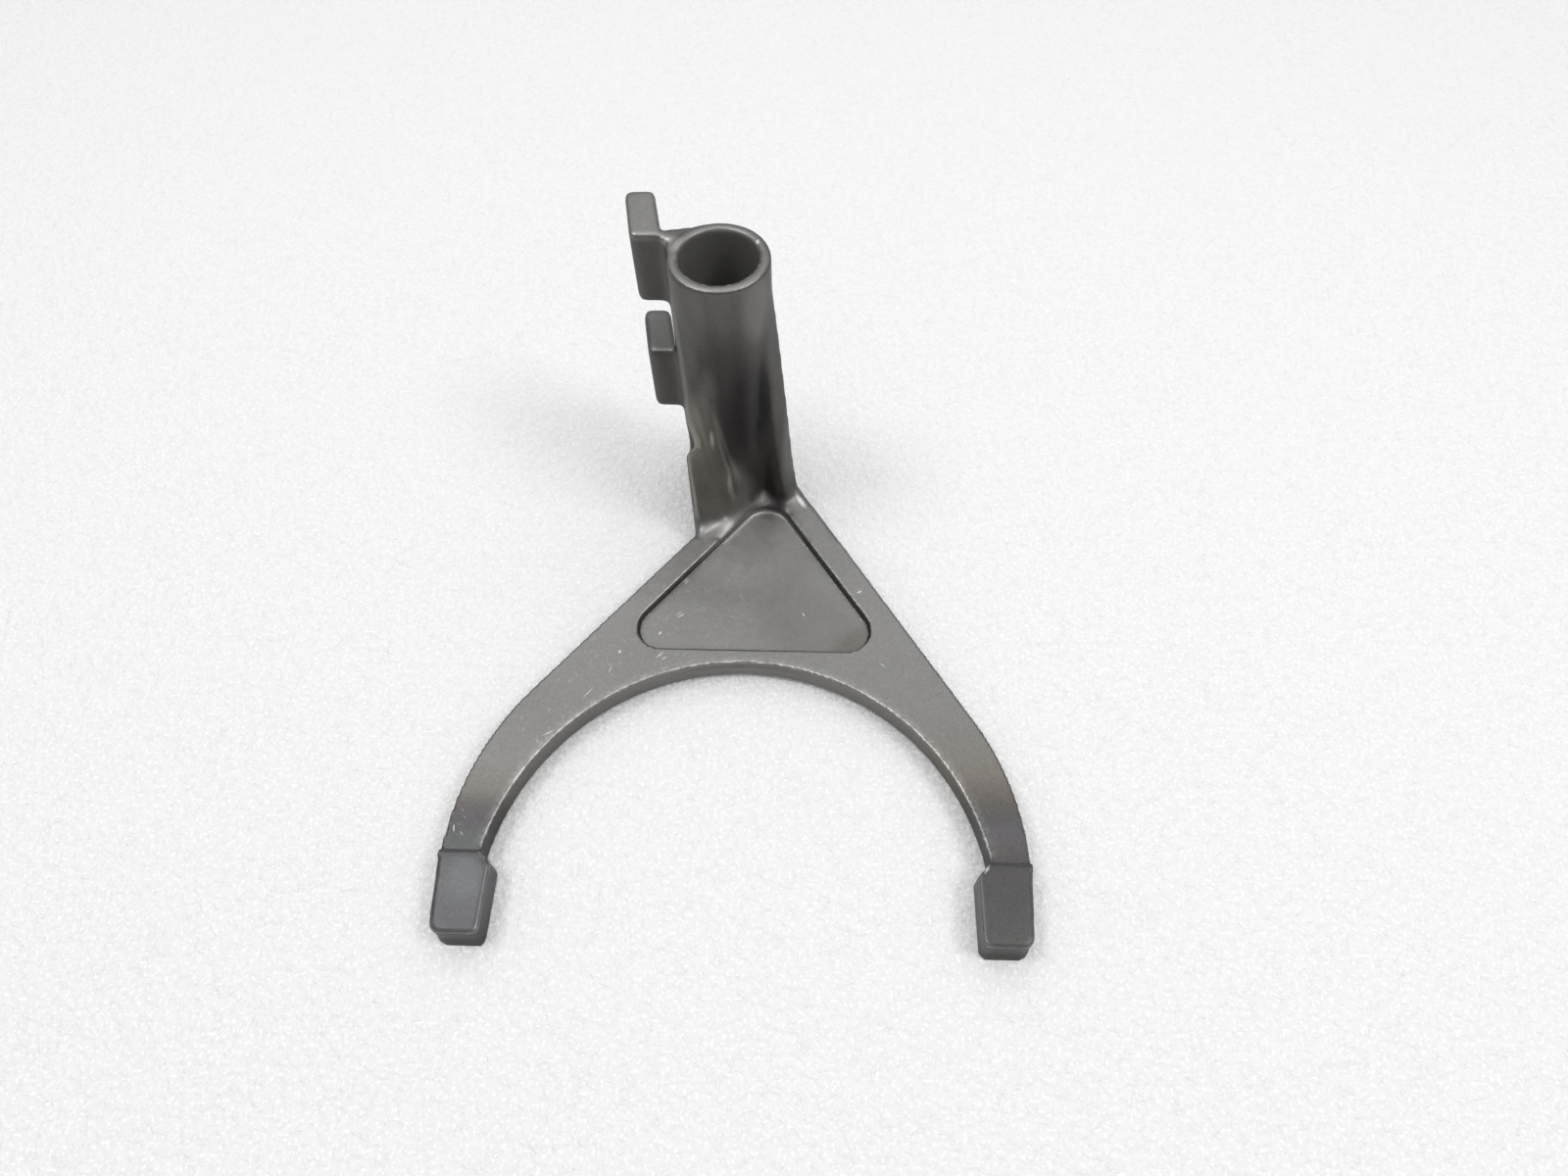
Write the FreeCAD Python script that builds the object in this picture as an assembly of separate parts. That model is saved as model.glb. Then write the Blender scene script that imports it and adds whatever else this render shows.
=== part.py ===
# Shift fork, one casting, in millimetres.
# The bore axis is the Z axis, and Z = 0 is the face that the fork rests on.
# X runs across the fork and the arms reach out along -Y.

import os
import math

import FreeCAD
import Part
from FreeCAD import Vector

# Rail tube
bore_radius = 10.0
tube_radius = 12.8
tube_rim_round = 0.9
bore_mouth_chamfer = 0.3

# Levels above the resting face
pad_thickness = 9.0
pad_step = 0.85
arm_thickness = 7.3
arm_top = pad_thickness - pad_step
arm_under = arm_top - arm_thickness
tube_rise = 80.0
tube_top = arm_top + tube_rise

# Fork arc and arms
fork_centre_x = 6.4
inner_arc_y = -131.3
inner_arc_radius = 63.1
outer_arc_y = -122.0
outer_arc_radius = 72.2
left_edge_angle = 38.0
right_edge_angle = 33.0
arm_edge_round = 0.6

# Pads at the arm ends
pad_back_y = -121.7
pad_overlap = 6.0
pad_end_y = -141.5
pad_inner_step = 4.0
pad_width_back = 13.4
pad_width_end = 12.0
pad_inner_chamfer = 3.2
pad_end_round = 3.0
pad_inner_round = 1.8
pad_corner_round = 0.8
pad_edge_round = 0.7
pad_toe_height = 3.5
pad_toe_reach = 1.0

# Triangular recess in the neck
rim_width = 6.7
recess_depth = 2.5
recess_base_y = -63.9
recess_corner_radius = 7.0
recess_apex_radius = 7.5

# Hub outline beside the tube, at arm level; its far side runs inside the tube wall
hub_left_corner = (-15.4, 4.6)
hub_left_foot = (-10.05, -25.8)
hub_right_foot = (20.9, -8.7)
hub_far_left = (-12.6, 8.6)
hub_far_middle = (0.0, 12.0)
hub_far_right = (10.75, 6.95)
hub_corner_round = 1.8
neck_fillet = 5.0

# Selector jaw: two lugs beside the tube
lug_height_upper = 21.6
slot_height = 17.4
lug_height_lower = 22.6
lug_near_left = (-22.5, 7.2)
lug_near_right = (-14.4, 7.3)
lug_far_right = (-17.9, 24.8)
lug_far_left = (-25.6, 24.3)
lug_corner_round = 1.9
lug_inner_round = 1.0
lug_edge_round = 0.9

# Web that joins the lugs to the tube: outer corners, then points inside the tube
web_outline = [(-14.9, 7.2), (-14.2, 10.3), (-2.0, 12.6), (0.0, 0.0), (-12.7, 0.0), (-13.2, 5.9)]
web_corner_round = 0.8

# Rows that are worked out between two measured rows of a gusset
gusset_pieces = 2

# Left gusset: rise above the arm, then front left, ridge, flank and foot of the section
left_gusset_rows = [
    (-3.0, (-10.2, -25.4), (0.7, -21.1), (6.0, -16.7), (10.4, -14.4)),
    (0.0, (-10.2, -25.2), (0.7, -21.0), (6.0, -16.6), (10.3, -14.3)),
    (0.8, (-10.1, -23.6), (0.6, -19.9), (5.6, -15.8), (9.6, -11.6)),
    (2.4, (-10.2, -22.2), (0.5, -18.8), (4.8, -14.9), (8.8, -9.8)),
    (8.0, (-10.6, -20.0), (0.2, -17.0), (3.2, -13.9), (6.4, -10.9)),
    (15.0, (-11.1, -18.2), (-0.2, -16.2), (1.3, -14.3), (2.6, -12.0)),
    (21.0, (-11.5, -16.9), (-1.4, -15.7), (-0.2, -14.1), (0.7, -11.9)),
    (24.5, (-11.1, -16.1), (-2.0, -15.4), (-0.9, -14.0), (0.0, -11.9)),
    (27.0, (-10.2, -15.4), (-2.5, -15.2), (-1.4, -13.9), (-0.4, -11.8)),
    (43.0, (-9.6, -12.9), (-4.4, -13.7), (-2.9, -13.3), (-0.7, -11.8)),
    (54.0, (-10.2, -10.4), (-6.1, -12.4), (-4.0, -12.6), (-1.6, -11.7)),
    (64.0, (-11.0, -7.4), (-8.0, -10.3), (-6.0, -11.3), (-3.6, -10.8)),
    (78.0, (-11.3, -4.0), (-9.6, -6.6), (-8.4, -7.6), (-6.4, -8.0)),
]
left_gusset_back = (-12.5, -1.2)
left_gusset_core = (0.0, -2.0)
left_gusset_rounds = [0, 1.2, 0.8, 0, 0, 0]

# Right gusset: rise above the arm, then inner and outer corner of the section
right_gusset_rows = [
    (-3.0, (15.0, -16.9), (21.0, -10.9)),
    (0.0, (14.9, -16.8), (21.0, -10.8)),
    (0.8, (14.8, -15.2), (20.4, -9.5)),
    (2.4, (14.8, -14.2), (19.9, -8.6)),
    (6.5, (14.6, -13.3), (19.2, -7.6)),
    (14.0, (13.4, -12.0), (18.4, -7.0)),
    (28.0, (12.1, -10.6), (17.3, -6.0)),
    (43.0, (11.8, -9.3), (15.9, -4.4)),
    (55.0, (11.7, -7.9), (14.7, -2.6)),
    (68.0, (11.7, -6.0), (13.2, -0.6)),
    (76.0, (11.6, -5.0), (11.9, 1.0)),
]
right_gusset_front = (8.6, -8.4)
right_gusset_back = (10.9, 6.2)
right_gusset_core = (2.0, 2.0)
right_gusset_rounds = [0, 1.4, 1.0, 0, 0]


def rounded_wire(points, radii, z):
    """Closed outline whose corners are rounded by the given radii."""
    count = len(points)
    starts = []
    ends = []
    middles = []
    for i in range(count):
        corner = Vector(points[i][0], points[i][1], z)
        before = Vector(points[i - 1][0], points[i - 1][1], z) - corner
        after = Vector(points[(i + 1) % count][0], points[(i + 1) % count][1], z) - corner
        before.normalize()
        after.normalize()
        if radii[i] <= 0:
            starts.append(corner)
            ends.append(corner)
            middles.append(None)
            continue
        half = before.getAngle(after) / 2.0
        reach = radii[i] / math.tan(half)
        bisector = before + after
        bisector.normalize()
        centre = corner + bisector * (radii[i] / math.sin(half))
        starts.append(corner + before * reach)
        ends.append(corner + after * reach)
        middles.append(centre - bisector * radii[i])
    edges = []
    for i in range(count):
        if middles[i] is not None:
            arc = Part.Arc(starts[i], middles[i], ends[i])
            edges.append(arc.toShape())
        nxt = (i + 1) % count
        if ends[i].distanceToPoint(starts[nxt]) > 1e-6:
            edges.append(Part.makeLine(ends[i], starts[nxt]))
    return Part.Wire(edges)


def prism(points, radii, low, high):
    """Straight block over a rounded outline."""
    face = Part.Face(rounded_wire(points, radii, low))
    return face.extrude(Vector(0, 0, high - low))


def edge_normal(angle, side):
    """Outward normal of a neck edge; side is -1 on the left, +1 on the right."""
    turn = math.radians(angle)
    return Vector(side * math.cos(turn), math.sin(turn), 0)


def tangent_point(angle, side, radius):
    """Point where a neck edge leaves the outer arc."""
    normal = edge_normal(angle, side)
    centre = Vector(fork_centre_x, outer_arc_y, 0)
    return centre + normal * radius


def meeting_point(left_offset, right_offset):
    """Point where the left and right neck edges would meet."""
    left = edge_normal(left_edge_angle, -1)
    right = edge_normal(right_edge_angle, 1)
    centre = Vector(fork_centre_x, outer_arc_y, 0)
    a = left.dot(centre) + left_offset
    b = right.dot(centre) + right_offset
    det = left.x * right.y - left.y * right.x
    x = (a * right.y - left.y * b) / det
    y = (left.x * b - a * right.x) / det
    return (x, y)


def point_on_edge(angle, side, offset, y):
    """Point at height y on a line parallel to a neck edge."""
    normal = edge_normal(angle, side)
    centre = Vector(fork_centre_x, outer_arc_y, 0)
    reach = normal.dot(centre) + offset
    return ((reach - normal.y * y) / normal.x, y)


def tube():
    """Rail tube with its rounded upper rim, still without the bore."""
    body = Part.makeCylinder(tube_radius, tube_top)
    rim = [e for e in body.Edges if abs(e.BoundBox.ZMin - tube_top) < 1e-6 and e.Closed]
    return body.makeFillet(tube_rim_round, rim)


def rounded_rim(plate, radius):
    """Round the long upper and lower edges of the fork plate."""
    chosen = []
    for edge in plate.Edges:
        box = edge.BoundBox
        level = abs(box.ZMax - box.ZMin) < 1e-6
        middle = edge.valueAt((edge.FirstParameter + edge.LastParameter) / 2)
        if level and pad_back_y - pad_overlap / 2 < middle.y < hub_left_foot[1] - neck_fillet / 4:
            chosen.append(edge)
    return plate.makeFillet(radius, chosen)


def arm_plate():
    """Flat plate of the fork: neck, arms and the foot of the hub."""
    left = tangent_point(left_edge_angle, -1, outer_arc_radius)
    right = tangent_point(right_edge_angle, 1, outer_arc_radius)
    points = [
        (left.x, left.y),
        hub_left_foot,
        hub_left_corner,
        hub_far_left,
        hub_far_middle,
        hub_far_right,
        hub_right_foot,
        (right.x, right.y),
        (fork_centre_x, outer_arc_y),
    ]
    radii = [0, neck_fillet, hub_corner_round, 0, 0, 0, neck_fillet, 0, 0]
    neck = prism(points, radii, arm_under, arm_top)
    disc = Part.makeCylinder(outer_arc_radius, arm_thickness, Vector(fork_centre_x, outer_arc_y, arm_under))
    plate = disc.fuse(neck)
    inner = Part.makeCylinder(inner_arc_radius, arm_thickness * 3, Vector(fork_centre_x, inner_arc_y, -arm_thickness))
    plate = plate.cut(inner)
    beyond = outer_arc_radius * 4
    arm_end = pad_back_y - pad_overlap
    cutter = Part.makeBox(beyond, beyond, tube_top, Vector(-beyond / 2, arm_end - beyond, -tube_top / 2))
    plate = plate.cut(cutter).removeSplitter()
    return rounded_rim(plate, arm_edge_round)


def recess():
    """Triangular recess between the neck rims."""
    inset = outer_arc_radius - rim_width
    apex = meeting_point(inset, inset)
    left = point_on_edge(left_edge_angle, -1, inset, recess_base_y)
    right = point_on_edge(right_edge_angle, 1, inset, recess_base_y)
    radii = [recess_apex_radius, recess_corner_radius, recess_corner_radius]
    return prism([apex, right, left], radii, arm_top - recess_depth, arm_top + recess_depth)


def pad(side):
    """One pad at an arm end; side is -1 on the left, +1 on the right."""
    half = inner_arc_radius - pad_inner_step
    inner = fork_centre_x + side * half
    inner_back = fork_centre_x + side * (half + pad_inner_chamfer)
    outer_back = fork_centre_x + side * (half + pad_width_back)
    outer_end = fork_centre_x + side * (half + pad_width_end)
    corner_radii = [0, 0, pad_end_round, pad_inner_round, pad_corner_round]
    outlines = []
    for reach in (pad_toe_reach, 0.0):
        outlines.append([
            (inner_back, pad_back_y),
            (outer_back, pad_back_y),
            (outer_end, pad_end_y - reach),
            (inner, pad_end_y - reach),
            (inner, pad_back_y - pad_inner_chamfer),
        ])
    upper = prism(outlines[1], corner_radii, pad_toe_height, pad_thickness)
    top = [e for e in upper.Edges if abs(e.BoundBox.ZMin - pad_thickness) < 1e-6]
    upper = upper.makeFillet(pad_edge_round, top)
    foot_low = rounded_wire(outlines[0], corner_radii, 0)
    foot_high = rounded_wire(outlines[1], corner_radii, pad_toe_height)
    foot = Part.makeLoft([foot_low, foot_high], True, True)
    return upper.fuse(foot).removeSplitter()


def lug(low, high):
    """One lug of the selector jaw, with rounded edges."""
    points = [lug_near_left, lug_near_right, lug_far_right, lug_far_left]
    radii = [lug_corner_round, lug_inner_round, lug_corner_round, lug_corner_round]
    block = prism(points, radii, low, high)
    level = [e for e in block.Edges if abs(e.BoundBox.ZMax - e.BoundBox.ZMin) < 1e-6]
    return block.makeFillet(lug_edge_round, level)


def jaw():
    """The web beside the tube and its two lugs."""
    web_radii = [0.0, 0.0, 0.0, 0.0, 0.0, web_corner_round]
    web = prism(web_outline, web_radii, arm_under, tube_top - tube_rim_round * 0.5)
    slot_top = tube_top - lug_height_upper
    slot_bottom = slot_top - slot_height
    upper = lug(slot_top, tube_top)
    lower = lug(slot_bottom - lug_height_lower, slot_bottom)
    return web.fuse([upper, lower])


def slope(table, k, i, c):
    """Rate of change of one coordinate at row k of a gusset table."""
    low = max(k - 1, 0)
    high = min(k + 1, len(table) - 1)
    return (table[high][i][c] - table[low][i][c]) / (table[high][0] - table[low][0])


def blend(table, k, i, c, t):
    """One coordinate between rows k and k + 1, on a smooth curve."""
    step = table[k + 1][0] - table[k][0]
    a = table[k][i][c]
    b = table[k + 1][i][c]
    ta = slope(table, k, i, c) * step
    tb = slope(table, k + 1, i, c) * step
    return (
        a * (2 * t**3 - 3 * t**2 + 1)
        + ta * (t**3 - 2 * t**2 + t)
        + b * (3 * t**2 - 2 * t**3)
        + tb * (t**3 - t**2)
    )


def refined(table, pieces):
    """The gusset table with smoothly placed rows between its own rows."""
    rows = []
    for k in range(len(table) - 1):
        for n in range(pieces):
            t = n / pieces
            rise = table[k][0] + t * (table[k + 1][0] - table[k][0])
            row = [rise]
            for i in range(1, len(table[k])):
                row.append((blend(table, k, i, 0, t), blend(table, k, i, 1, t)))
            rows.append(row)
    rows.append(list(table[-1]))
    return rows


def skin(sections):
    """Solid through a stack of outlines: (height, points, radii)."""
    wires = [rounded_wire(points, radii, z) for z, points, radii in sections]
    return Part.makeLoft(wires, True, True)


def left_gusset():
    """Broad rib that rises from the left neck rim to the tube."""
    sections = []
    for rise, front_left, ridge, flank, foot in refined(left_gusset_rows, gusset_pieces):
        points = [left_gusset_back, front_left, ridge, flank, foot, left_gusset_core]
        sections.append((arm_top + rise, points, left_gusset_rounds))
    return skin(sections)


def right_gusset():
    """Narrow rib that rises from the right neck rim to the tube."""
    sections = []
    for rise, inner, outer in refined(right_gusset_rows, gusset_pieces):
        points = [right_gusset_front, inner, outer, right_gusset_back, right_gusset_core]
        sections.append((arm_top + rise, points, right_gusset_rounds))
    return skin(sections)


def bore():
    """Through bore with a small chamfer at its upper mouth."""
    hole = Part.makeCylinder(bore_radius, tube_top * 1.5, Vector(0, 0, -tube_top * 0.25))
    rise = bore_mouth_chamfer * 4
    cone = Part.makeCone(bore_radius, bore_radius + rise, rise, Vector(0, 0, tube_top - bore_mouth_chamfer))
    return hole.fuse(cone)


def shift_fork():
    """The whole casting."""
    body = tube().fuse([arm_plate(), jaw(), pad(-1), pad(1), left_gusset(), right_gusset()])
    body = body.cut(recess())
    body = body.cut(bore())
    return body.removeSplitter()


os.makedirs("parts", exist_ok=True)
casting = shift_fork()
box = casting.BoundBox
print("solids", len(casting.Solids), "valid", casting.isValid(), "volume", round(casting.Volume))
print("size", round(box.XLength, 2), round(box.YLength, 2), round(box.ZLength, 2))
casting.Solids[0].exportStep("parts/shift_fork.step")
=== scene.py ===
# %% [markdown]
# A shift fork out of a gearbox is one casting: a tube that slides on a rail, a flat fork whose
# two pads push a sleeve, and a jaw beside the tube that the selector finger moves. The packed
# model holds the sizes, so it is loaded first and everything here is placed by it.

import math

import bpy
from mathutils import Euler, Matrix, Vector


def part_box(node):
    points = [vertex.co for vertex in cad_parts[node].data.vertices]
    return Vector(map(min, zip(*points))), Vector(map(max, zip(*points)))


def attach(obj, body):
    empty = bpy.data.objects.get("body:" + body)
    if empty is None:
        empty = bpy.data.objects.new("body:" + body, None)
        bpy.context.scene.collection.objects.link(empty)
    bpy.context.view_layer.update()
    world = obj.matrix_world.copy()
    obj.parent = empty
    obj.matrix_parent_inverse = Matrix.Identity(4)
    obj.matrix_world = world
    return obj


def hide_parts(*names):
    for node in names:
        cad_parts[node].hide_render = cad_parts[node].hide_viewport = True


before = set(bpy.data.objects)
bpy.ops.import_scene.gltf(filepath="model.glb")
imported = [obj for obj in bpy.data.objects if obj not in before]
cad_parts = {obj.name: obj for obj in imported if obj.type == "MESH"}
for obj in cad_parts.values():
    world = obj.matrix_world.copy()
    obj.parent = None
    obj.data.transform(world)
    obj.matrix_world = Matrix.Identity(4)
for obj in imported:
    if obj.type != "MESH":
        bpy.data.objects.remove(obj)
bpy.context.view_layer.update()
casting_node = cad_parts["shift_fork"]
node_low, node_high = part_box("shift_fork")
MM = 0.001
node_ends = [tuple(round(v / MM, 1) for v in end) for end in (node_low, node_high)]
print("casting runs from", node_ends[0], "to", node_ends[1])


# %% [markdown]
# The picture was taken from in front and well above, with a wide lens held close, so the tube
# leans back and looks thicker at its top. A camera at the same place and angle gives the same lean.
# It could be found by eye, but the tube's round rim and the arms' arcs fix it far more exactly.

# %% Camera
camera_place = Vector((22.2, -194.9, 249.8)) * MM
camera_degrees = (32.02, 0.375, 1.569)
camera_lens = 22.96
sensor_width = 36.0
nearest_seen = 0.01
farthest_seen = 20.0

camera_data = bpy.data.cameras.new("camera")
camera_data.lens = camera_lens
camera_data.sensor_width = sensor_width
camera_data.clip_start = nearest_seen
camera_data.clip_end = farthest_seen
camera = bpy.data.objects.new("camera", camera_data)
camera.location = camera_place
camera.rotation_euler = Euler([math.radians(a) for a in camera_degrees])
bpy.context.scene.collection.objects.link(camera)
bpy.context.scene.camera = camera
print("camera is", round(camera_place.z / MM), "mm above the floor")


# %% [markdown]
# The fork lies on a sheet of white foam that fills the picture. A curved backdrop could give the
# same white, but here the floor is simply so wide that its edge lies far behind everything.

# %% White floor
floor_half = 6.0
floor_drop = 0.05 * MM

bpy.ops.object.select_all(action="DESELECT")
bpy.ops.mesh.primitive_plane_add(size=2 * floor_half, location=(0, 0, node_low.z - floor_drop))
floor = bpy.context.active_object
floor.name = "floor"
print("floor at", round(floor.location.z / MM, 2), "mm")


# %% [markdown]
# The foam's look is a net of small steps. They could be linked one by one, but the same few kinds
# come back, so one helper adds any step and links what feeds it, and three short ones add the
# foam's usual steps: a sum, a ramp, and a noise that is fixed to the sheet.

# %% Helpers for the foam
foam_roughness = 0.9
foam_shine = 0.1

# The colour mixer's sockets go by number: the share, the two colours and the mixed one.
MIX_SHARE, MIX_UNDER, MIX_OVER, MIXED = 0, 6, 7, 2


def add_node(tree, kind, sockets, **settings):
    node = tree.nodes.new(kind)
    for key, value in settings.items():
        setattr(node, key, value)
    for key, source in sockets.items():
        if isinstance(source, bpy.types.NodeSocket):
            tree.links.new(source, node.inputs[key])
        else:
            node.inputs[key].default_value = source
    return node


foam = bpy.data.materials.new("white_foam")
foam.use_nodes = True
foam_tree = foam.node_tree
foam_skin = foam_tree.nodes["Principled BSDF"]
foam_skin.inputs["Roughness"].default_value = foam_roughness
foam_skin.inputs["Specular IOR Level"].default_value = foam_shine
foam_place = add_node(foam_tree, "ShaderNodeTexCoord", {}).outputs["Object"]


def foam_maths(kind, first, second):
    step = add_node(foam_tree, "ShaderNodeMath", {0: first, 1: second}, operation=kind)
    return step.outputs["Value"]


def foam_ramp(value, start, end, low, high):
    ends = {"From Min": start, "From Max": end, "To Min": low, "To Max": high}
    return add_node(foam_tree, "ShaderNodeMapRange", {"Value": value, **ends}).outputs["Result"]


def foam_noise(grain, detail):
    sockets = {"Vector": foam_place, "Scale": 1.0 / grain, "Detail": detail}
    return add_node(foam_tree, "ShaderNodeTexNoise", sockets).outputs["Fac"]


print("foam starts with", len(foam_tree.nodes), "nodes")


# %% [markdown]
# Foam is made of small cells, so its face is bumpy, and beside the casting it gets a blotchy
# painted contact shade. The bumps could be modelled, but millions would be needed, so cells times
# a finer dust lift the shading instead. How much of the sky is hidden from a point sets how deep
# the painted shade is.

# %% Grain of the foam and its painted contact shade
foam_white = (0.93, 0.93, 0.93, 1.0)
foam_shade_grey = (0.50, 0.495, 0.485, 1.0)
foam_cell = 2.2 * MM
foam_dust_grain = 1.1 * MM
foam_relief = 0.8 * MM
contact_reach = 16.0 * MM
contact_rays = 8

foam_cells = add_node(
    foam_tree, "ShaderNodeTexVoronoi", {"Vector": foam_place, "Scale": 1.0 / foam_cell}
)
foam_dust = foam_noise(foam_dust_grain, 4.0)
foam_height = foam_maths("MULTIPLY", foam_cells.outputs["Distance"], foam_dust)
foam_lift = add_node(
    foam_tree, "ShaderNodeBump", {"Strength": 1.0, "Distance": foam_relief, "Height": foam_height}
)
foam_open = add_node(
    foam_tree, "ShaderNodeAmbientOcclusion", {"Distance": contact_reach}, samples=contact_rays
)
# Painted contact shade: the foam darkens where the casting hides its sky.
foam_hidden = foam_maths("SUBTRACT", 1.0, foam_open.outputs["AO"])
foam_blotches = foam_ramp(foam_dust, 0.40, 0.60, 0.9, 0.0)
foam_shade = foam_maths("MULTIPLY", foam_hidden, foam_blotches)
foam_tone = add_node(
    foam_tree,
    "ShaderNodeMix",
    {MIX_SHARE: foam_shade, MIX_UNDER: foam_white, MIX_OVER: foam_shade_grey},
    data_type="RGBA",
)
foam_tree.links.new(foam_tone.outputs[MIXED], foam_skin.inputs["Base Color"])
foam_tree.links.new(foam_lift.outputs["Normal"], foam_skin.inputs["Normal"])
print("foam cells of", round(foam_cell / MM, 1), "mm, dull within", round(contact_reach / MM), "mm")


# %% [markdown]
# The sheet is close to pure white in the picture, with small glints in its grain. It could be lit
# until it turns white, but that would bleach the steel as well. So the foam glows faintly for the
# camera alone: more in each glint, and more again far off, where the lamps no longer reach.

# %% Glow that only the camera sees
foam_glow = 0.130
glint_glow = 0.13
glint_grain = 0.9 * MM
far_start, far_end = 0.45, 1.6
far_more = 0.50

foam_grit = foam_noise(glint_grain, 1.0)
glint = foam_ramp(foam_grit, 0.57, 0.68, foam_glow, foam_glow + glint_glow)
foam_reach = add_node(foam_tree, "ShaderNodeVectorMath", {0: foam_place}, operation="LENGTH")
far_glow = foam_ramp(foam_reach.outputs["Value"], far_start, far_end, 0.0, far_more)
all_glow = foam_maths("ADD", glint, far_glow)
ray = add_node(foam_tree, "ShaderNodeLightPath", {})
glow = foam_maths("MULTIPLY", ray.outputs["Is Camera Ray"], all_glow)
foam_light = add_node(
    foam_tree, "ShaderNodeEmission", {"Color": (1.0, 1.0, 1.0, 1.0), "Strength": glow}
)
lit_foam = add_node(
    foam_tree,
    "ShaderNodeAddShader",
    {0: foam_skin.outputs["BSDF"], 1: foam_light.outputs["Emission"]},
)
foam_end = foam_tree.nodes["Material Output"]
foam_tree.links.new(lit_foam.outputs["Shader"], foam_end.inputs["Surface"])
floor.data.materials.append(foam)
print("foam glows", foam_glow, "near and", foam_glow + far_more, "far off")


# %% [markdown]
# Two small lamps stand high to the left and right, under one broad lamp overhead: the tube throws
# two faint shadows behind it, and every rounded edge gets a soft line of light. One large lamp
# would give a single shadow. The sky is dim as a lamp but nearly white to the camera, so that
# what lies past the floor looks white too.

# %% Soft studio light
lamp_aim = (0.0, -0.02, 0.0)
lamps = [
    ("lamp_over", (0.0, 0.4, 1.5), 2.0, 11.0),
    ("lamp_left", (-0.50, -0.04, 1.08), 0.34, 2.5),
    ("lamp_right", (0.66, -0.20, 0.98), 0.34, 2.9),
]
sky_light = 0.27
sky_seen = 0.90

# The number mixer's sockets: the share, the two numbers and the mixed one.
LEVEL_SHARE, LEVEL_LOW, LEVEL_HIGH, LEVELLED = 0, 2, 3, 0


def soft_lamp(name, place, size, power):
    data = bpy.data.lights.new(name, "AREA")
    data.shape = "SQUARE"
    data.size = size
    data.energy = power
    lamp = bpy.data.objects.new(name, data)
    lamp.location = Vector(place)
    lamp.rotation_euler = (Vector(lamp_aim) - lamp.location).to_track_quat("-Z", "Y").to_euler()
    bpy.context.scene.collection.objects.link(lamp)


for name, place, size, power in lamps:
    soft_lamp(name, place, size, power)

world = bpy.data.worlds.new("studio")
bpy.context.scene.world = world
world.use_nodes = True
sky = world.node_tree.nodes["Background"]
sky.inputs["Color"].default_value = (1.0, 1.0, 1.0, 1.0)
sky_ray = add_node(world.node_tree, "ShaderNodeLightPath", {}).outputs["Is Camera Ray"]
sky_level = add_node(
    world.node_tree,
    "ShaderNodeMix",
    {LEVEL_SHARE: sky_ray, LEVEL_LOW: sky_light, LEVEL_HIGH: sky_seen},
)
world.node_tree.links.new(sky_level.outputs[LEVELLED], sky.inputs["Strength"])


# %% [markdown]
# The real casting has no knife-sharp lines: sand or die casting and shot blasting leave every
# corner soft, and the gussets flow into the tube and the neck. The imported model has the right
# shape but crisp seams where its parts meet. A bevel could round the outer edges, but not blend
# the valleys. So a copy is merged, turned into one even skin of small faces, and smoothed.

# %% One even skin over a copy of the casting
merge_reach = 0.02 * MM
skin_cell = 0.65 * MM

bpy.ops.object.select_all(action="DESELECT")
casting_node.select_set(True)
bpy.context.view_layer.objects.active = casting_node
bpy.ops.object.duplicate()
casting = bpy.context.active_object
casting.name = "casting"
for key in list(casting.keys()):
    del casting[key]
casting.parent = None
bpy.ops.object.mode_set(mode="EDIT")
bpy.ops.mesh.select_all(action="SELECT")
bpy.ops.mesh.remove_doubles(threshold=merge_reach)
bpy.ops.object.mode_set(mode="OBJECT")
skin = casting.modifiers.new("skin", "REMESH")
skin.mode = "VOXEL"
skin.voxel_size = skin_cell
bpy.ops.object.modifier_apply(modifier="skin")
print("skin has", len(casting.data.polygons), "faces")


# %% [markdown]
# The tube's bore, its rim and the pads are machined, so they keep their lines, while the
# as-cast gussets and lugs are softened more, most of all in the valley between the gussets and
# at their feet. Sculpting could do that too, but not twice alike. So for each point of the skin
# a share is worked out from its place: how much it gives way.

# %% How much each place gives way
tube_radius = 12.8 * MM
bore_guard = 1.5 * MM
arm_top = 8.15 * MM
arm_fade = 0.5 * MM
hub_edge, hub_inside = -30.0 * MM, -24.0 * MM
rim_edge, rim_end = 0.5 * MM, 3.0 * MM
foot_low, foot_high = 7.0 * MM, 8.0 * MM
melted_places = [
    ((10.5, -11.0, 22.0), (7.0, 6.0, 26.0)),
    ((-5.0, -23.0, 9.0), (13.0, 7.0, 6.0)),
    ((17.0, -13.0, 9.0), (8.0, 6.0, 6.0)),
]


def fade(value, start, end):
    share = (value - start) / (end - start)
    share = min(max(share, 0.0), 1.0)
    return share * share * (3.0 - 2.0 * share)


def cast_softness(place):
    x, y, z = place
    if math.hypot(x, y) < tube_radius - bore_guard and z > arm_top:
        return 0.0
    in_hub = fade(y, hub_edge, hub_inside) * fade(z, arm_top - arm_fade, arm_top + arm_fade)
    return in_hub * fade(z, node_high.z - rim_edge, node_high.z - rim_end)


def ball_share(place, centre, size):
    apart = [(place[i] / MM - centre[i]) / size[i] for i in range(3)]
    return fade(math.sqrt(sum(a * a for a in apart)), 1.0, 0.5)


def melt_share(place):
    deepest = max(ball_share(place, centre, size) for centre, size in melted_places)
    return deepest * fade(place[2], foot_low, foot_high)


print("softness on the gusset", round(cast_softness(Vector((0.0, -16.0, 30.0)) * MM), 2))


# %% [markdown]
# Rounds of smoothing draw each point toward its neighbours, as blasting and a worn mould do on
# the real part. Many rounds everywhere would shrink the whole fork. So all of it gets two, and
# the rest go through vertex groups that hold the shares from above.

# %% Soften the as-cast places
rounds_all_over, rounds_cast, rounds_melted = 2, 12, 52


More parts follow.
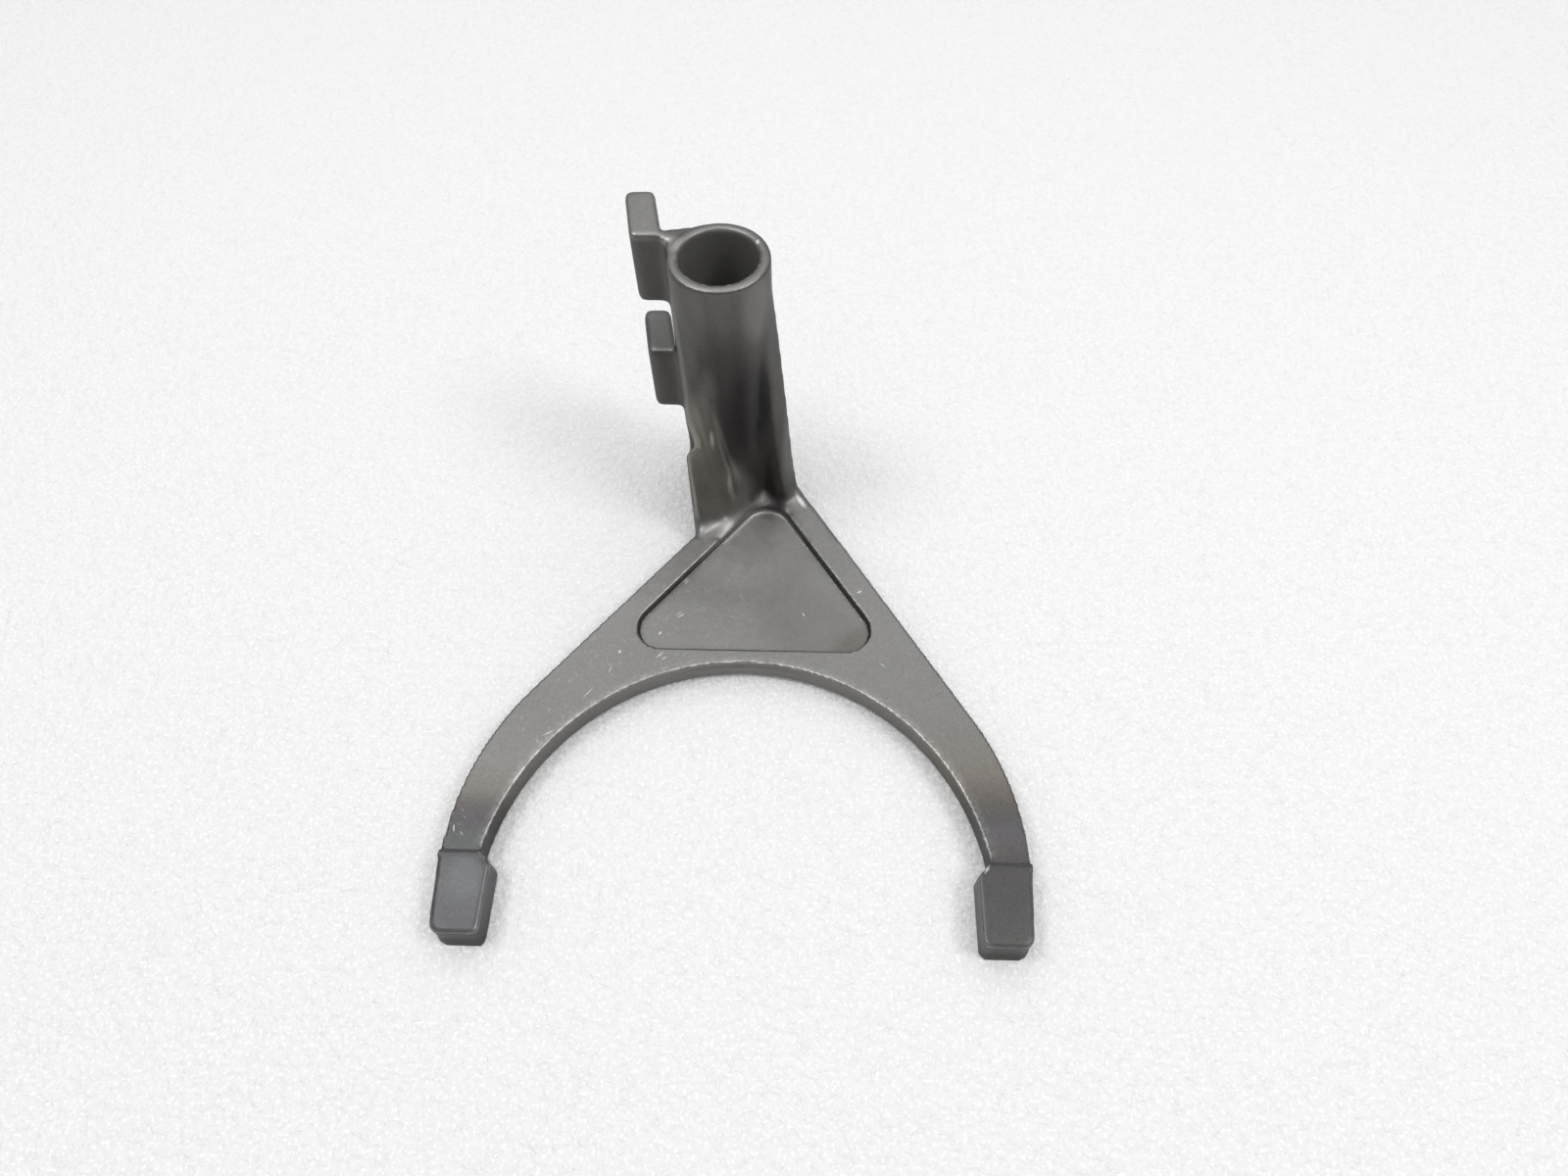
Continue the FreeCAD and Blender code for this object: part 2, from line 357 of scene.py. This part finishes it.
def give_group(name, share):
    group = casting.vertex_groups.new(name=name)
    covered = 0
    for vertex in casting.data.vertices:
        amount = share(vertex.co)
        if amount > 0:
            group.add([vertex.index], amount, "REPLACE")
            covered += 1
    print(name, "covers", covered, "points")


def smooth(name, rounds, group=""):
    step = casting.modifiers.new(name, "SMOOTH")
    step.factor = 0.5
    step.iterations = rounds
    step.vertex_group = group
    bpy.ops.object.modifier_apply(modifier=name)


give_group("as_cast", cast_softness)
give_group("melted", melt_share)
smooth("all_over", rounds_all_over)
smooth("blends", rounds_cast, "as_cast")
smooth("melt", rounds_melted, "melted")


# %% [markdown]
# The outer edge of the left gusset dips into a shallow notch, and a soft ridge runs down beside
# it. Both could be cut from the solid. Here the skin's points are pushed in and out by shares
# that fade to nothing, so no seam is left round them.

# %% Notch and ridge of the left gusset
notch_depth = 2.2 * MM
notch_front_y, notch_front_z, notch_fall = -14.0, 32.2, 1.15
ridge_lift = 0.7 * MM
ridge_top = (-6.5, -13.0, 52.0)
ridge_lean = (0.19, -0.11)
rounds_after_push = 4


def notch_share(place):
    x, y, z = [v / MM for v in place]
    above = z - (notch_front_z - (y - notch_front_y) * notch_fall)
    along = fade(above, -1.5, 0.8) * fade(above, 13.0, 1.0)
    return along * fade(x, -7.0, -9.5) * fade(y, 9.0, 6.0)


def ridge_share(place):
    x, y, z = [v / MM for v in place]
    drop = ridge_top[2] - z
    ridge_x = ridge_top[0] + drop * ridge_lean[0]
    ridge_y = ridge_top[1] + drop * ridge_lean[1]
    near = fade(math.hypot(x - ridge_x, y - ridge_y), 3.2, 0.5)
    return near * fade(z, 12.0, 18.0) * fade(z, 58.0, 48.0)


def push(name, direction, amount, group):
    step = casting.modifiers.new(name, "DISPLACE")
    step.direction = direction
    step.mid_level = 0.0
    step.strength = amount
    step.vertex_group = group
    bpy.ops.object.modifier_apply(modifier=name)


give_group("notch", notch_share)
give_group("ridge", ridge_share)
push("notch_in", "X", notch_depth, "notch")
push("ridge_out", "NORMAL", ridge_lift, "ridge")
smooth("after_push", rounds_after_push, "as_cast")


# %% [markdown]
# The pads stand a small step above the arms, and both they and the recess floor are flat. The
# smoothing has worn the step and left the flats a little wavy. They could be cut again with
# planes, but points that lie close to a known height can simply be moved onto it.

# %% True the pads' step and the flat faces
pad_top = 9.0 * MM
pad_slack = 0.1 * MM
pad_line = -121.7 * MM
step_reach = 1.6 * MM
step_low = 7.9 * MM
plate_start = -27.0 * MM
plate_dip = 0.75 * MM
recess_floor = 5.7 * MM
recess_swell = 0.8 * MM
recess_end = -64.5 * MM
looks_up = 0.45

trued = 0
for vertex in casting.data.vertices:
    place = vertex.co
    if abs(place.y - pad_line) < step_reach and place.z > step_low:
        place.z = arm_top if place.y > pad_line else max(place.z, pad_top - pad_slack)
        trued += 1
for vertex in casting.data.vertices:
    place = vertex.co
    if place.y < plate_start and vertex.normal.z > looks_up:
        if arm_top - plate_dip < place.z < arm_top:
            place.z = arm_top
            trued += 1
        elif recess_floor < place.z < recess_floor + recess_swell and place.y > recess_end:
            place.z = recess_floor
            trued += 1
print("trued", trued, "points of the machined and flat faces")


# %% [markdown]
# The skin is the whole part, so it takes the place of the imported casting. The fork has no joint
# of its own: the skin rides on the root, and its one slot is the metal it is cast from.

# %% Hand the skin over to the frame
bpy.ops.object.shade_smooth()
triangles = sum(len(p.vertices) - 2 for p in casting.data.polygons)
print("casting has", triangles, "triangles")

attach(casting, "root")
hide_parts("shift_fork")


# %% [markdown]
# The finish is many thin things on one grey: heat colours, stains, scratches, worn places, and
# painted light, shade and highlights. A picture of steel could be wrapped round the part, but it
# has no flat sheet to wrap. So the colour is built from each point's place in space, and that
# begins with helpers for sums: a product, a value between two others, and a soft step from none
# to all.

# %% Helpers for sums and soft steps
steel = bpy.data.materials.new("cast_steel")
steel.use_nodes = True
steel_tree = steel.node_tree
steel_skin = steel_tree.nodes["Principled BSDF"]


def steel_node(kind, sockets, **settings):
    return add_node(steel_tree, kind, sockets, **settings)


def maths(kind, first, second=0.0):
    return steel_node("ShaderNodeMath", {0: first, 1: second}, operation=kind).outputs["Value"]


def times(first, *others):
    for other in others:
        first = maths("MULTIPLY", first, other)
    return first


def between(low, high, share):
    return maths("ADD", low, times(share, high - low))


def soft_step(value, start, end):
    before, after = (1.0, 0.0) if start > end else (0.0, 1.0)
    ends = {"From Min": min(start, end), "From Max": max(start, end)}
    ends.update({"To Min": before, "To Max": after})
    step = steel_node(
        "ShaderNodeMapRange", {"Value": value, **ends}, interpolation_type="SMOOTHSTEP"
    )
    return step.outputs["Result"]


steel_place = steel_node("ShaderNodeTexCoord", {}).outputs["Object"]
steel_axes = steel_node("ShaderNodeSeparateXYZ", {"Vector": steel_place})
place_x, place_y, place_z = (steel_axes.outputs[axis] for axis in "XYZ")
steel_face = steel_node("ShaderNodeNewGeometry", {})
print("steel starts with", len(steel_tree.nodes), "nodes")


# %% [markdown]
# A stain, a scratch, a painted highlight, a patch of painted light and a patch of painted shade
# each sit at one place, have a size, and may lie at an angle. A painted mask could say so, but a
# ball that fades from its core outward needs only the place, the size and the turn. A speckle
# breaks up what would look too even, and a layer lays a colour over all that came before.

# %% Helpers for soft balls, speckles and layers
def steel_mapping(**sockets):
    sockets["Vector"] = steel_place
    return steel_node("ShaderNodeMapping", sockets, vector_type="TEXTURE").outputs["Vector"]


def soft_ball(centre, size, turn=(0.0, 0.0, 0.0), core=0.6):
    put = steel_mapping(
        Location=[v * MM for v in centre],
        Rotation=[math.radians(a) for a in turn],
        Scale=[v * MM for v in size],
    )
    ball = steel_node("ShaderNodeTexGradient", {"Vector": put}, gradient_type="SPHERICAL")
    return soft_step(ball.outputs["Fac"], 0.0, core)


def speckle(grain, detail=3.0, stretch=(1.0, 1.0, 1.0), turn=0.0):
    put = steel_mapping(Rotation=(0.0, 0.0, math.radians(turn)), Scale=stretch)
    sockets = {"Vector": put, "Scale": 1.0 / (grain * MM), "Detail": detail}
    return steel_node("ShaderNodeTexNoise", sockets).outputs["Fac"]


def layer(under, mask, colour, blend="MIX"):
    under, colour = [(*c, 1.0) if isinstance(c, tuple) else c for c in (under, colour)]
    sockets = {MIX_SHARE: mask, MIX_UNDER: under, MIX_OVER: colour}
    mixer = steel_node("ShaderNodeMix", sockets, data_type="RGBA", blend_type=blend)
    return mixer.outputs[MIXED]


print("helpers add no node yet:", len(steel_tree.nodes))


# %% [markdown]
# Blasting leaves a satin grey. On it the faces that look up get painted light and the walls
# painted shade: the lamps alone can't make that difference, because their light is so even. So the
# way a face looks sets its grey, and the fork's walls get less painted shade than the hub's.

# %% Painted light on top, painted shade on the walls
lit_top_grey = (0.285, 0.281, 0.275)
shaded_wall_grey = (0.128, 0.124, 0.119)
shaded_fork_wall_grey = (0.275, 0.266, 0.258)

look = steel_node("ShaderNodeSeparateXYZ", {"Vector": steel_face.outputs["Normal"]})
look_up = look.outputs["Z"]
facing_up = soft_step(look_up, 0.25, 0.85)
fork_part = soft_step(place_y, -58.0 * MM, -66.0 * MM)
steel_colour = layer(layer(shaded_wall_grey, fork_part, shaded_fork_wall_grey), facing_up, lit_top_grey)
print("grey runs from", shaded_wall_grey[0], "on the hub's walls to", lit_top_grey[0], "on top")


# %% [markdown]
# The arms look as if their ends were hardened by heat, which left a straw-brown band that turns
# to blue grey toward the pads. The two arms took it a little differently. One scale for both
# would miss that, so each arm has its own, and a point takes the left or the right one by the
# side of the middle line it lies on.

# %% Heat colours along the arms
heat_start, heat_end = -45.0, -143.0


def heat_scale(stops):
    reach = heat_end - heat_start
    share = maths("SUBTRACT", place_y, heat_start * MM)
    share = maths("DIVIDE", share, reach * MM)
    scale = steel_node("ShaderNodeValToRGB", {"Fac": share})
    keys = scale.color_ramp.elements
    keys[0].position = 0.0
    keys[0].color = (1.0, 1.0, 1.0, 1.0)
    keys[1].position = 1.0
    keys[1].color = (*stops[-1][1], 1.0)
    for along, colour in stops[:-1]:
        keys.new((along - heat_start) / reach).color = (*colour, 1.0)
    return scale.outputs["Color"]


left_heat = [
    (-50.0, (1.06, 1.06, 1.06)), (-80.0, (0.87, 0.87, 0.87)), (-98.0, (0.81, 0.81, 0.80)),
    (-102.0, (0.76, 0.74, 0.70)), (-106.0, (0.67, 0.65, 0.61)), (-110.0, (0.44, 0.42, 0.41)),
    (-114.0, (0.37, 0.36, 0.39)), (-118.0, (0.40, 0.42, 0.43)), (-121.5, (0.42, 0.43, 0.45)),
    (-126.0, (0.44, 0.45, 0.48)), (-130.0, (0.47, 0.48, 0.51)), (-136.0, (0.40, 0.41, 0.44)),
    (-143.0, (0.37, 0.38, 0.41)),
]
right_heat = [
    (-50.0, (1.00, 1.00, 1.00)), (-82.0, (0.90, 0.90, 0.89)), (-90.0, (0.83, 0.82, 0.77)),
    (-98.0, (0.78, 0.73, 0.67)), (-102.0, (0.63, 0.58, 0.54)), (-106.0, (0.49, 0.46, 0.42)),
    (-110.0, (0.41, 0.40, 0.42)), (-114.0, (0.45, 0.44, 0.48)), (-118.0, (0.43, 0.41, 0.42)),
    (-121.5, (0.36, 0.35, 0.35)), (-130.0, (0.34, 0.34, 0.35)), (-143.0, (0.39, 0.39, 0.39)),
]
right_side = soft_step(place_x, 4.0 * MM, 9.0 * MM)
heat = layer(heat_scale(left_heat), right_side, heat_scale(right_heat))
steel_colour = layer(steel_colour, 1.0, heat, "MULTIPLY")
print("heat scales of", len(left_heat), "and", len(right_heat), "stops")


# %% [markdown]
# Painted shade lies in the deep places: the front of the tube between the gussets is nearly
# black, while the left gusset's face gets painted light and a little warm tint. They could be
# painted on by hand, but a list can be read and changed. Each place is a soft ball, long where the
# place is long: some balls put painted light only on the walls, some on all they touch, and the
# rest darken, most of them as painted shade.

# %% Painted shade and light on the hub
# Painted shade in the valley, at the gussets' feet and on the lower lug's top under the upper lug;
# recess_stain is a stain, and rim_left and recess_right are darker spots.
hub_painted_shade_and_stains = [
    ("tube_front", (1.0, -15.0, 50.0), (12.0, 9.0, 34.0), (0.0, 0.0, 0.0), (0.78, 0.76, 0.77)),
    ("valley", (7.0, -11.0, 47.0), (8.5, 8.0, 26.0), (0.0, 4.0, 0.0), (0.60, 0.59, 0.61)),
    ("valley_side", (9.8, -9.2, 46.0), (4.0, 4.5, 17.0), (0.0, 4.0, 0.0), (0.75, 0.74, 0.76)),
    ("valley_end", (12.5, -15.0, 9.5), (4.5, 6.0, 6.0), (0.0, 0.0, -35.0), (0.62, 0.60, 0.61)),
    ("valley_left", (7.9, -12.8, 9.8), (4.5, 4.5, 4.0), (0.0, 0.0, 0.0), (0.55, 0.54, 0.53)),
    ("valley_right", (15.9, -14.2, 9.0), (3.5, 3.5, 3.5), (0.0, 0.0, 0.0), (0.60, 0.59, 0.59)),
    ("right_gusset", (13.5, -11.0, 30.0), (3.5, 6.0, 24.0), (0.0, 6.0, 0.0), (0.85, 0.83, 0.85)),
    ("recess_stain", (37.5, -61.0, 5.7), (13.0, 7.0, 2.5), (0.0, 0.0, 35.0), (0.80, 0.78, 0.75)),
    ("recess_right", (26.0, -56.0, 5.7), (22.0, 16.0, 2.5), (0.0, 0.0, -40.0), (0.88, 0.87, 0.86)),
    ("rim_left", (-11.6, 10.2, 88.0), (4.0, 4.5, 3.0), (0.0, 0.0, 0.0), (0.80, 0.80, 0.80)),
    ("lower_lug_top", (-19.0, 15.0, 49.5), (9.0, 12.0, 4.0), (0.0, 0.0, 0.0), (0.70, 0.70, 0.70)),
]
# Painted light, with a warm tint on left_gusset; left_pad_patch is a bluish patch on the left pad.
hub_painted_light_and_tints = [
    ("left_gusset", (-7.0, -16.0, 30.0), (8.0, 8.0, 32.0), (0.0, 0.0, 0.0), (0.29, 0.275, 0.24)),
    ("ridge_foot", (0.5, -16.5, 17.0), (9.0, 7.0, 15.0), (0.0, 0.0, 0.0), (0.33, 0.31, 0.28)),
    ("valley_foot", (4.0, -14.5, 13.0), (9.0, 7.0, 9.0), (0.0, 0.0, 0.0), (0.27, 0.255, 0.24)),
    ("right_edge", (18.0, -7.0, 30.0), (4.0, 5.0, 30.0), (0.0, 6.0, 0.0), (0.20, 0.19, 0.18)),
    ("recess_apex", (4.0, -27.0, 5.7), (20.0, 22.0, 5.0), (0.0, 0.0, 0.0), (0.38, 0.375, 0.365)),
    ("upper_lug_top", (-19.5, 16.0, 88.0), (10.0, 12.0, 4.0), (0.0, 0.0, 0.0), (0.36, 0.355, 0.345)),
    ("web_top", (-12.8, 4.5, 88.0), (4.5, 4.5, 3.5), (0.0, 0.0, 0.0), (0.46, 0.45, 0.43)),
    ("left_pad_patch", (-58.5, -128.5, 9.0), (5.0, 7.0, 2.0), (0.0, 0.0, 20.0), (0.142, 0.145, 0.152)),
]
# Painted light on the walls only.
wall_painted_light = [
    ("tube_top", (3.0, -12.0, 84.0), (13.0, 8.0, 16.0), (0.0, 0.0, 0.0), (0.172, 0.166, 0.160)),
    ("tube_top_right", (9.5, -8.5, 80.0), (5.5, 6.0, 14.0), (0.0, 0.0, 0.0), (0.21, 0.20, 0.195)),
    ("ridge_top", (-4.6, -13.0, 50.0), (4.0, 5.0, 16.0), (0.0, 5.0, 0.0), (0.21, 0.20, 0.185)),
    ("left_gusset_foot", (-7.0, -17.0, 15.0), (9.0, 8.0, 12.0), (0.0, 0.0, 0.0), (0.33, 0.31, 0.28)),
    ("left_pad_side", (-51.5, -129.5, 5.0), (7.0, 11.0, 9.0), (0.0, 0.0, 0.0), (0.150, 0.152, 0.160)),
    ("right_pad_side", (64.5, -132.0, 5.0), (7.0, 14.0, 9.0), (0.0, 0.0, 0.0), (0.190, 0.190, 0.195)),
    ("recess_wall", (6.4, -46.0, 6.9), (46.0, 34.0, 3.0), (0.0, 0.0, 0.0), (0.175, 0.172, 0.167)),
]
on_wall = maths("SUBTRACT", 1.0, facing_up)
for _, centre, size, turn, colour in wall_painted_light:
    steel_colour = layer(steel_colour, times(soft_ball(centre, size, turn), on_wall), colour)
for _, centre, size, turn, colour in hub_painted_light_and_tints:
    steel_colour = layer(steel_colour, soft_ball(centre, size, turn), colour)
for _, centre, size, turn, colour in hub_painted_shade_and_stains:
    steel_colour = layer(steel_colour, soft_ball(centre, size, turn), colour, "MULTIPLY")
light_count = len(wall_painted_light) + len(hub_painted_light_and_tints)
print("hub has", len(hub_painted_shade_and_stains), "darker and", light_count, "lighter places")


# %% [markdown]
# The inner corners are darkened, more on the fork than on the hub and hardly at the pads.
# The renderer knows how hollow each point is, so that draws the dark lines, with no mask drawn for
# them. The foot of the recess's sloping wall is too blunt to be caught by it and gets a painted
# shade of its own, laid over the highlight that its rounded foot would catch.

# %% Darker inner corners, painted shade at the recess's foot
corner_black = (0.045, 0.044, 0.042)
recess_foot_shade = (0.10, 0.098, 0.094)
recess_foot_shade_share = 0.40

corner = steel_face.outputs["Pointiness"]
fork_floor = soft_step(place_y, -20.0 * MM, -26.0 * MM)
pad_part = soft_step(place_y, -100.0 * MM, -110.0 * MM)
hollow_corner = soft_step(corner, 0.475, 0.43)
corner_dark_share = maths("SUBTRACT", between(0.35, 0.80, fork_floor), times(pad_part, 0.70))
steel_colour = layer(steel_colour, times(hollow_corner, corner_dark_share), corner_black)
# Painted shade at the rounded foot of the recess's sloping wall.
tilted = soft_step(look_up, 0.995, 0.95)
recess_foot = times(tilted, soft_ball((6.4, -46.0, 6.0), (46.0, 34.0, 2.2)), recess_foot_shade_share)
steel_colour = layer(steel_colour, recess_foot, recess_foot_shade)
print("steel has", len(steel_tree.nodes), "nodes with the dirt")


# %% [markdown]
# Handling polishes the outer corners, which shows as thin pale lines: broken ones on the hub,
# faint on the tube's rim and fuller on the fork. A bevel with its own metal would make them too
# even, so the same measure of corners is broken up by a speckle. The pads' rounded top edges get
# a bluish painted light, where they would otherwise mirror dark.

# %% Worn outer corners, painted light on the pads' edges
worn_grey = (0.50, 0.49, 0.47)
pad_rim_painted_light = (0.26, 0.262, 0.27)
pad_rim_light_share = 0.8

drop_z = {0: steel_place, 1: (1.0, 1.0, 0.0)}
across = steel_node("ShaderNodeVectorMath", drop_z, operation="MULTIPLY").outputs["Vector"]
from_axis = steel_node("ShaderNodeVectorMath", {0: across}, operation="LENGTH").outputs["Value"]
off_rim = soft_step(from_axis, 13.2 * MM, 14.0 * MM)
# Painted light on the pads' rounded top edges.
pad_rim = times(soft_step(look_up, 0.98, 0.85), soft_step(look_up, 0.15, 0.40))
pad_rim = times(pad_rim, soft_step(place_z, 7.6 * MM, 8.2 * MM), pad_part)
steel_colour = layer(steel_colour, times(pad_rim, pad_rim_light_share), pad_rim_painted_light)
worn = soft_step(corner, 0.525, 0.58)
patchy = soft_step(speckle(2.2), 0.35, 0.65)
worn_share = times(worn, between(0.22, 0.62, patchy), between(0.3, 1.0, off_rim))
worn_share = times(worn_share, between(1.0, 1.55, fork_floor))
steel_colour = layer(steel_colour, worn_share, worn_grey)
print("steel has", len(steel_tree.nodes), "nodes with the worn corners")


# %% [markdown]
# The bore is reamed to run on its rail: an even grey from edge to edge, where full metal would
# mirror its own dark inside. It could be a second material, but the skin's faces don't end at
# the bore's edge. So the distance from the axis sets where its grey begins and the mirror ends.

# %% Machined bore
bore_radius = 10.0 * MM
bore_grey = (0.235, 0.229, 0.217)
bore_metal = 0.25

in_bore = soft_step(from_axis, bore_radius + 0.4 * MM, bore_radius + 0.1 * MM)
steel_colour = layer(steel_colour, in_bore, bore_grey)
print("bore metal inside", round(bore_radius / MM, 1), "mm")


# %% [markdown]
# The sleeve's groove runs close to the inner arc, and the arc's upper edge is rubbed bright in
# streaks, with a fainter band behind it. The corner measure alone draws too thin a line. So the
# line follows the distance from the arc's centre, and it stops before the pads.

# %% Worn line along the inner arc
arc_centre = (6.4 * MM, -131.3 * MM, 0.0)
arc_bright = (0.66, 0.65, 0.63)
edge_inside, edge_outside, edge_share = 63.5 * MM, 64.1 * MM, 0.75
band_inside, band_outside, band_share = 63.6 * MM, 66.0 * MM, 0.22

arc_ends = {0: across, 1: arc_centre}
from_arc = steel_node("ShaderNodeVectorMath", arc_ends, operation="DISTANCE").outputs["Value"]
arc_edge = soft_step(from_arc, edge_outside, edge_inside)
arc_band = soft_step(from_arc, band_outside, band_inside)
arc_worn = maths("MAXIMUM", times(arc_edge, edge_share), times(arc_band, band_share))
streaks = soft_step(speckle(1.3, 3.0), 0.38, 0.62)
before_pad = soft_step(place_y, -120.8 * MM, -119.0 * MM)
arc_worn = times(arc_worn, between(0.25, 1.0, streaks), between(1.0, 0.55, pad_part))
arc_worn = times(arc_worn, facing_up, before_pad)
steel_colour = layer(steel_colour, arc_worn, arc_bright)
print("arc is worn out to", round(band_outside / MM, 1), "mm from its centre")


# %% [markdown]
# Where the bore meets the turned rim, the near side of the mouth catches the light as a bright
# broken ring. A chamfer that small is lost in the skin's faces, so it is coloured instead.

# %% Bright mouth of the bore
mouth_bright = (0.62, 0.60, 0.58)

mouth = times(
    soft_step(from_axis, bore_radius - 0.3 * MM, bore_radius),
    soft_step(from_axis, bore_radius + 0.9 * MM, bore_radius + 0.5 * MM),
    soft_step(place_z, node_high.z - 0.7 * MM, node_high.z - 0.4 * MM),
    soft_step(place_y, 3.0 * MM, -5.0 * MM),
    patchy,
)
steel_colour = layer(steel_colour, mouth, mouth_bright)
print("mouth ring at z", round(node_high.z / MM, 1), "mm")


# %% [markdown]
# Small painted highlights sit where rounded edges would catch a lamp: a line along each gusset's
# foot, on the left gusset's ridge and on the recess's rim at the apex, and spots on the rim and
# the jaw. Years of handling leave short scratches on the plate where it was laid down or tapped.
# The ones that can be told apart are listed by place, each a thin soft ball turned to the mark's
# direction.

# %% Painted highlights and scratches
# Painted highlights where rounded edges catch a lamp.
painted_highlights = [
    ("right_corner", (20.8, -13.0, 9.0), (4.0, 1.3, 3.0), -59.0, 1.0),
    ("left_foot", (-5.8, -24.0, 8.8), (5.5, 0.9, 1.5), 38.0, 0.30),
    ("left_foot_spot", (-1.6, -20.6, 9.1), (1.3, 1.0, 1.3), 0.0, 0.45),
    ("ridge_top", (-3.9, -15.4, 38.5), (0.9, 1.5, 5.0), 0.0, 0.4),
    ("ridge_low", (0.0, -16.8, 20.5), (0.8, 1.5, 6.0), 0.0, 0.35),
    ("jaw_spot", (-13.2, 6.4, 87.7), (1.2, 0.9, 0.9), 0.0, 0.8),
    ("rim_spot", (9.2, 5.4, 88.0), (0.7, 1.1, 0.8), 0.0, 0.8),
    ("apex_rim", (4.2, -19.0, 8.1), (4.2, 0.5, 0.7), 42.0, 0.6),
    ("apex_rim_right", (9.0, -14.8, 8.2), (3.6, 0.5, 0.8), 25.0, 0.4),
]
scratches = [
    ((-17.9, -58.0, 5.7), (0.6, 0.25), 60.0), ((-12.5, -52.2, 5.7), (1.1, 0.12), 35.0),
    ((-13.2, -51.6, 5.7), (0.9, 0.10), 42.0), ((22.2, -51.1, 5.7), (0.7, 0.15), 120.0),
    ((-16.9, -66.2, 8.2), (1.4, 0.12), 48.0), ((-15.6, -67.2, 8.2), (0.9, 0.10), 40.0),
    ((-28.0, -65.5, 8.2), (0.5, 0.30), 80.0), ((37.9, -44.7, 8.2), (0.7, 0.25), 30.0),
    ((-65.2, -117.5, 8.0), (1.0, 0.10), 78.0), ((-63.6, -116.0, 8.2), (0.9, 0.10), 100.0),
    ((-35.0, -78.0, 8.2), (1.8, 0.09), 52.0),
    ((-44.0, -90.0, 8.2), (1.5, 0.09), 30.0), ((-30.0, -71.0, 8.2), (1.0, 0.10), 75.0),
    ((12.5, -71.0, 8.2), (0.8, 0.12), 20.0), ((44.0, -68.0, 8.2), (1.0, 0.09), 140.0),
]
highlight_and_scratch_grey = (0.92, 0.91, 0.89)
scratch_longer, scratch_wider, scratch_depth = 1.4, 1.8, 0.8
scratch_strength = 0.6
for _, centre, size, turn, share in painted_highlights:
    spot = times(soft_ball(centre, size, (0.0, 0.0, turn), 0.8), share)
    steel_colour = layer(steel_colour, spot, highlight_and_scratch_grey)
scratched = 0.0
for centre, (length, width), turn in scratches:
    size = (scratch_longer * length, scratch_wider * width, scratch_depth)
    scratched = maths("MAXIMUM", scratched, soft_ball(centre, size, (0.0, 0.0, turn), 0.7))
steel_colour = layer(steel_colour, times(scratched, scratch_strength), highlight_and_scratch_grey)
print(len(painted_highlights), "rubbed places and", len(scratches), "scratches")


# %% [markdown]
# The finest scratches lie in loose patches, in two directions, and more on the left arm than on
# the right. Drawing each would take hundreds of entries; a stretched noise gives the same look.

# %% Fine scuffs
scuff_grain = 0.45
scuff_stretch = (1.0, 5.0, 1.0)
scuff_grey = (0.60, 0.59, 0.57)
scuff_sets = [(-35.0, 6.0), (50.0, 8.0)]

for turn, patch in scuff_sets:
    scuff = soft_step(speckle(scuff_grain, 1.0, scuff_stretch, turn), 0.64, 0.74)
    scuff = times(scuff, soft_step(speckle(patch, 1.0), 0.50, 0.60), facing_up, fork_floor)
    scuff = times(scuff, between(0.32, 0.08, right_side), before_pad)
    steel_colour = layer(steel_colour, scuff, scuff_grey)
print(len(scuff_sets), "sets of scuffs")


# %% [markdown]
# Blasted steel is never one even tone: there is a slow cloudiness, a finer mottle, and a grain as
# fine as the shot. A flat grey would look like plastic. So three noises move the tone. The
# mottle also moves the gloss a little, and together with the grain it lifts the surface.

# %% Mottle, gloss and grain
tone_base = 0.535
cloud_share, mottle_share, grain_share = 0.16, 0.22, 0.55
gloss_low, gloss_high, gloss_worn = 0.40, 0.52, 0.08
grain_height, mottle_height = 0.6, 1.4
shot_relief = 0.06 * MM
shot_strength = 0.5

cloud = speckle(18.0, 2.0)
mottle = speckle(2.5, 4.0)
grain = speckle(0.40, 2.0)
tone = maths("ADD", times(cloud, cloud_share), times(mottle, mottle_share))
tone = maths("ADD", tone, times(grain, grain_share))
tone = maths("ADD", tone, tone_base)
steel_colour = layer(steel_colour, 1.0, tone, "MULTIPLY")
gloss = maths("SUBTRACT", between(gloss_low, gloss_high, mottle), times(worn, gloss_worn))
height = maths("ADD", times(grain, grain_height), times(mottle, mottle_height))
lift = steel_node(
    "ShaderNodeBump", {"Strength": shot_strength, "Distance": shot_relief, "Height": height}
)
for socket, source in [
    ("Base Color", steel_colour),
    ("Roughness", gloss),
    ("Metallic", between(1.0, bore_metal, in_bore)),
    ("Normal", lift.outputs["Normal"]),
]:
    steel_tree.links.new(source, steel_skin.inputs[socket])
casting.data.materials.clear()
casting.data.materials.append(steel)
print("steel has", len(steel_tree.nodes), "nodes")


# %% [markdown]
# The colours above were matched under the plain view, so the scene asks for it.

# %% Plain view
bpy.context.scene.view_settings.view_transform = "Standard"
